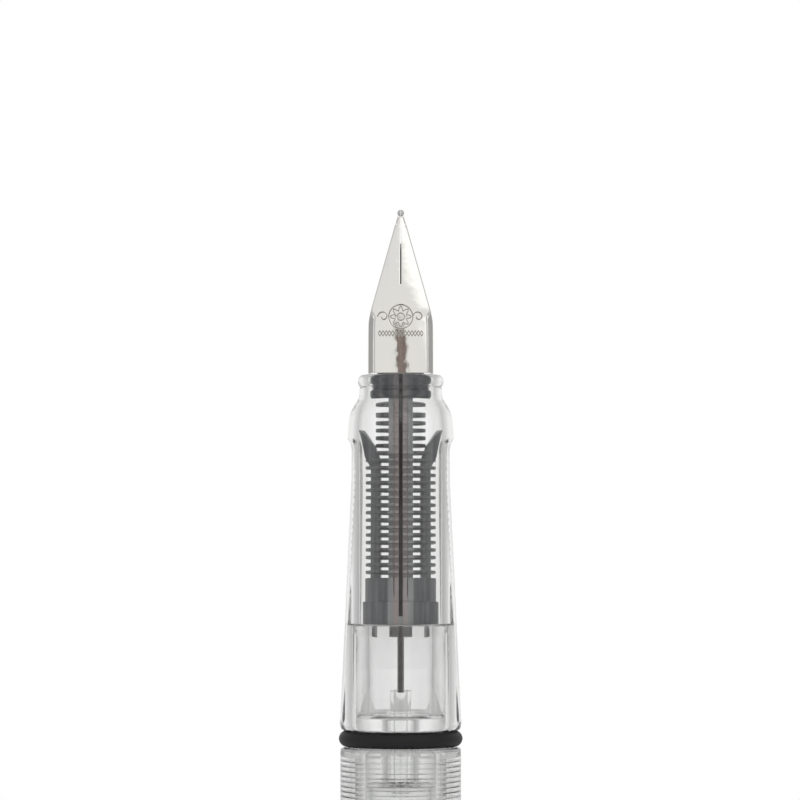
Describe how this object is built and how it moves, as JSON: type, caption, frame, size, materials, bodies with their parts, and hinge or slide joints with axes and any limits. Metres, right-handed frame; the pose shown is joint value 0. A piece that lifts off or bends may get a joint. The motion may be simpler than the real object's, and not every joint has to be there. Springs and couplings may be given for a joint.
{
  "type": "demonstrator fountain pen",
  "caption": "Clear fountain pen with a steel nib, comb feed, three-sided grip, screw-in section, piston converter and a posted clip cap, standing nib up.",
  "frame": {"origin": "centre of the cap's flat end, which the pen stands on with its cap posted", "axes": "+Z along the pen from the cap's end to the nib; -Y is the side of the nib's upper face and of the clip"},
  "size_m": [0.014, 0.017, 0.1646],
  "materials": {
    "clear_plastic": "polished clear moulding",
    "milky_plastic": "natural translucent moulding",
    "black_plastic": "fine satin moulding",
    "grey_plastic": "satin moulding",
    "black_rubber": "matt moulded rubber",
    "polished_steel": "polished stainless steel",
    "chrome": "bright plated",
    "brass": "turned brass"
  },
  "bodies": {
    "barrel": {"barrel": "clear_plastic", "barrel_end_plug": "clear_plastic"},
    "ring": {"section_o_ring": "black_rubber"},
    "section": {"grip_shell": "clear_plastic", "section_core": "clear_plastic", "nipple": "milky_plastic", "feed": "black_plastic"},
    "nib": {"nib": "polished_steel", "nib_tipping": "polished_steel"},
    "converter": {"converter_tube": "clear_plastic", "converter_band": "chrome", "rod_guide": "black_plastic"},
    "knob": {"converter_knob": "black_plastic"},
    "piston": {"piston_rod": "grey_plastic", "piston_seal": "black_rubber"},
    "cap": {"cap_tube": "clear_plastic", "cap_liner": "clear_plastic", "cap_finial": "black_plastic", "cap_nut": "brass"},
    "clip": {"cap_clip": "chrome"}
  },
  "joints": [
    {"name": "section_travel", "type": "slide", "parent": "barrel", "child": "ring", "axis": [0, 0, 1], "range_m": [0, 0.0075]},
    {"name": "section_unscrew", "type": "hinge", "parent": "ring", "child": "section", "pos_m": [0, 0, 0.111], "axis": [0, 0, 1], "range_deg": [0, 2700]},
    {"name": "nib_pull", "type": "slide", "parent": "section", "child": "nib", "axis": [0, 0, 1], "range_m": [0, 0.018]},
    {"name": "converter_pull", "type": "slide", "parent": "section", "child": "converter", "axis": [0, 0, -1], "range_m": [0, 0.007]},
    {"name": "knob_turn", "type": "hinge", "parent": "converter", "child": "knob", "pos_m": [0, 0, 0.06], "axis": [0, 0, 1], "range_deg": [0, 2880]},
    {"name": "piston_travel", "type": "slide", "parent": "converter", "child": "piston", "axis": [0, 0, 1], "range_m": [0, 0.02]},
    {"name": "cap_pull", "type": "slide", "parent": "barrel", "child": "cap", "axis": [0, 0, -1], "range_m": [0, 0.03]},
    {"name": "clip_flex", "type": "hinge", "parent": "cap", "child": "clip", "pos_m": [0, -0.0062, 0.00225], "axis": [1, 0, 0], "range_deg": [0, 6], "stiffness_Nm_per_rad": 0.4}
  ],
  "couplings": [
    {"joint": "section_travel", "follows": "section_unscrew", "m_per_rad": 0.00015915},
    {"joint": "piston_travel", "follows": "knob_turn", "m_per_rad": 0.00039788}
  ]
}
